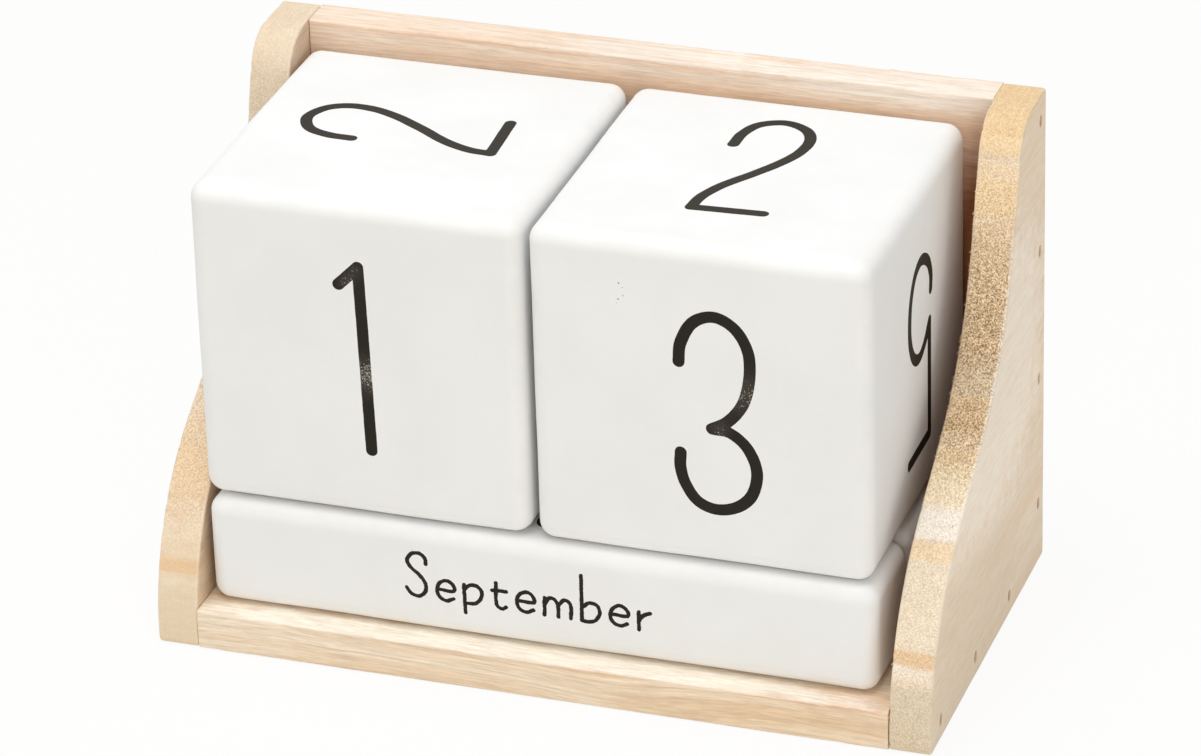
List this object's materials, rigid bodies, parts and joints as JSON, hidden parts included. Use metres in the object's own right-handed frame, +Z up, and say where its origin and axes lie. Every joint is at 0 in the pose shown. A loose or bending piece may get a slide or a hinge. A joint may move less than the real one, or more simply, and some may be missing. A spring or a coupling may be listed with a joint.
{
  "type": "perpetual block calendar",
  "caption": "Desk calendar of loose painted blocks, number cubes resting side by side on month bars, in an open wooden stand with curved side panels.",
  "frame": {"origin": "on the table, under the middle of the stand's outline", "axes": "+X to the reader's right, along the stand's width; -Y is the front that is read; +Z up"},
  "size_m": [0.141, 0.0732, 0.092],
  "materials": {
    "bare_wood": "bare pale softwood, sanded",
    "white_paint": "satin white paint on wood",
    "brad_steel": "bright drawn wire",
    "black_print": "matt charcoal printing ink"
  },
  "bodies": {
    "stand": {"left_side_panel": "bare_wood", "right_side_panel": "bare_wood", "back_panel": "bare_wood", "base_panel": "bare_wood", "left_back_brads": "brad_steel", "right_back_brads": "brad_steel", "left_base_brads": "brad_steel", "right_base_brads": "brad_steel", "rear_base_brads": "brad_steel"},
    "tens_block": {"tens_cube": "white_paint"},
    "units_block": {"units_cube": "white_paint"},
    "front_month_block": {"front_month_bar": "white_paint"},
    "middle_month_block": {"middle_month_bar": "white_paint"},
    "rear_month_block": {"rear_month_bar": "white_paint"}
  },
  "joints": [
    {"name": "tens_cube_lift", "type": "slide", "parent": "stand", "child": "tens_block", "axis": [0, 0, 1], "range_m": [0, 0.066]},
    {"name": "units_cube_lift", "type": "slide", "parent": "stand", "child": "units_block", "axis": [0, 0, 1], "range_m": [0, 0.066]},
    {"name": "rear_month_bar_slide", "type": "slide", "parent": "stand", "child": "rear_month_block", "axis": [0, -1, 0], "range_m": [0, 0.026]},
    {"name": "middle_month_bar_slide", "type": "slide", "parent": "rear_month_block", "child": "middle_month_block", "axis": [0, -1, 0], "range_m": [0, 0.026]},
    {"name": "front_month_bar_slide", "type": "slide", "parent": "middle_month_block", "child": "front_month_block", "axis": [0, -1, 0], "range_m": [0, 0.026]}
  ]
}
